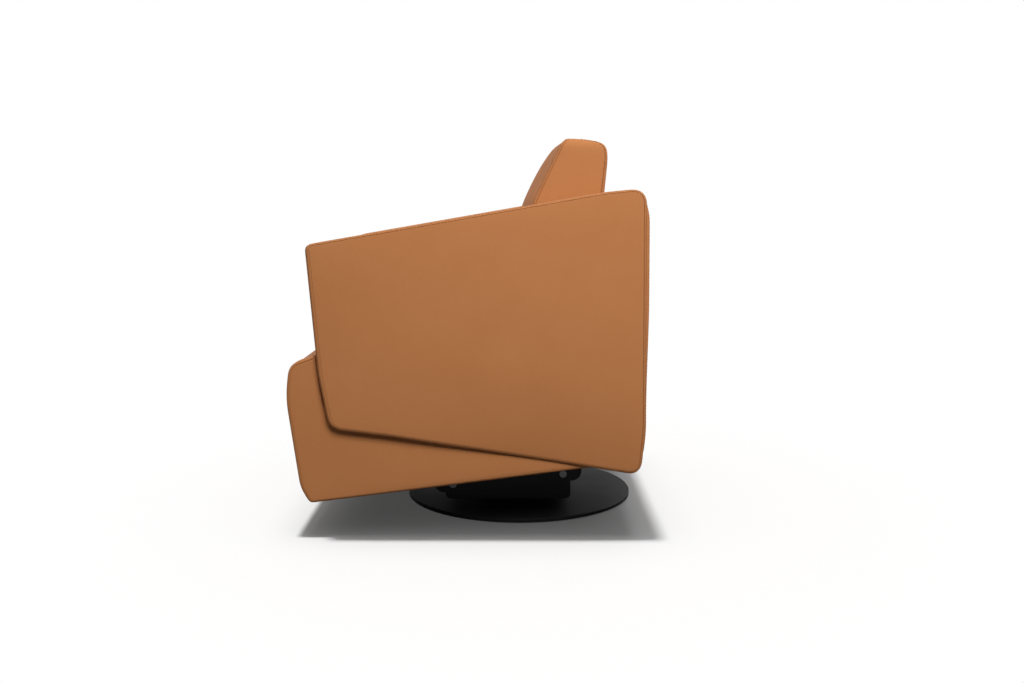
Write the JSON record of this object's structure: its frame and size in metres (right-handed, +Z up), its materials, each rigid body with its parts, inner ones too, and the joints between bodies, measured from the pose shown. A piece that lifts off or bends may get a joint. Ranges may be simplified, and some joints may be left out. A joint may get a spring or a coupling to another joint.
{
  "type": "swivel glider armchair",
  "caption": "Leather swivel glider armchair: boxy padded seat with sloping slab arms and a raised head, hung on a glide linkage above a round flat steel base.",
  "frame": {"origin": "on the floor under the swivel axis, at the underside of the floor pad", "axes": "+Z up along the swivel axis, the sitter faces -Y, +X is the sitter's left"},
  "size_m": [0.7798, 0.7695, 0.8434],
  "materials": {
    "leather": "tan top-grain leather",
    "black_steel": "semi-gloss black",
    "grey_steel": "dark grey pressed steel",
    "zinc": "zinc-plated steel",
    "beech": "planed hardwood",
    "plywood": "plywood",
    "nylon": "natural nylon",
    "rubber": "black rubber",
    "webbing": "elastic webbing",
    "felt": "black felt"
  },
  "bodies": {
    "base": {"floor_pad": "felt", "base_disc": "black_steel", "bearing_lower_race": "zinc"},
    "ball_cage": {"bearing_ball_cage": "zinc"},
    "swivel_frame": {"bearing_upper_race": "zinc", "turntable_plate": "grey_steel", "plate_bolt_1": "zinc", "plate_bolt_2": "zinc", "plate_bolt_3": "zinc", "plate_bolt_4": "zinc", "hanger_bracket_left": "grey_steel", "hanger_bracket_right": "grey_steel", "stop_buffer_left": "rubber", "stop_buffer_right": "rubber", "upper_pin_front_left": "zinc", "upper_pin_front_right": "zinc", "upper_pin_rear_left": "zinc", "upper_pin_rear_right": "zinc"},
    "front_links": {"swing_link_front_left": "grey_steel", "upper_bush_front_left": "nylon", "lower_bush_front_left": "nylon", "swing_link_front_right": "grey_steel", "upper_bush_front_right": "nylon", "lower_bush_front_right": "nylon"},
    "rear_links": {"swing_link_rear_left": "grey_steel", "upper_bush_rear_left": "nylon", "lower_bush_rear_left": "nylon", "swing_link_rear_right": "grey_steel", "upper_bush_rear_right": "nylon", "lower_bush_rear_right": "nylon"},
    "seat": {"glide_rail_left": "grey_steel", "glide_rail_right": "grey_steel", "lower_pin_front_left": "zinc", "lower_pin_front_right": "zinc", "lower_pin_rear_left": "zinc", "lower_pin_rear_right": "zinc", "seat_stretcher_left": "beech", "seat_stretcher_right": "beech", "seat_front_rail": "beech", "seat_rear_rail": "beech", "seat_side_rail_left": "beech", "seat_side_rail_right": "beech", "seat_webbing": "webbing", "seat_cushion": "leather", "seat_front_panel": "leather", "seat_side_panel_left": "leather", "seat_side_panel_right": "leather", "arm_pad_left": "leather", "arm_pad_right": "leather", "arm_frame_left": "plywood", "arm_frame_right": "plywood", "back_post_left": "beech", "back_post_right": "beech", "back_top_rail": "beech", "back_lower_rail": "beech", "back_webbing": "webbing", "back_cushion": "leather", "outside_back": "leather"}
  },
  "joints": [
    {"name": "swivel", "type": "hinge", "parent": "base", "child": "swivel_frame", "pos_m": [0, 0, 0.02], "axis": [0, 0, 1], "continuous": true},
    {"name": "cage_turn", "type": "hinge", "parent": "base", "child": "ball_cage", "pos_m": [0, 0, 0.02], "axis": [0, 0, 1], "continuous": true},
    {"name": "glide", "type": "hinge", "parent": "swivel_frame", "child": "front_links", "pos_m": [0, -0.15, 0.19], "axis": [1, 0, 0], "range_deg": [-22, 22]},
    {"name": "rear_link_swing", "type": "hinge", "parent": "swivel_frame", "child": "rear_links", "pos_m": [0, 0.1, 0.214], "axis": [1, 0, 0], "range_deg": [-22, 22]},
    {"name": "seat_level", "type": "hinge", "parent": "front_links", "child": "seat", "pos_m": [0, -0.15, 0.07], "axis": [1, 0, 0], "range_deg": [-22, 22]}
  ],
  "couplings": [
    {"joint": "cage_turn", "follows": "swivel", "ratio": 0.5},
    {"joint": "rear_link_swing", "follows": "glide", "ratio": 1},
    {"joint": "seat_level", "follows": "glide", "ratio": -1}
  ]
}
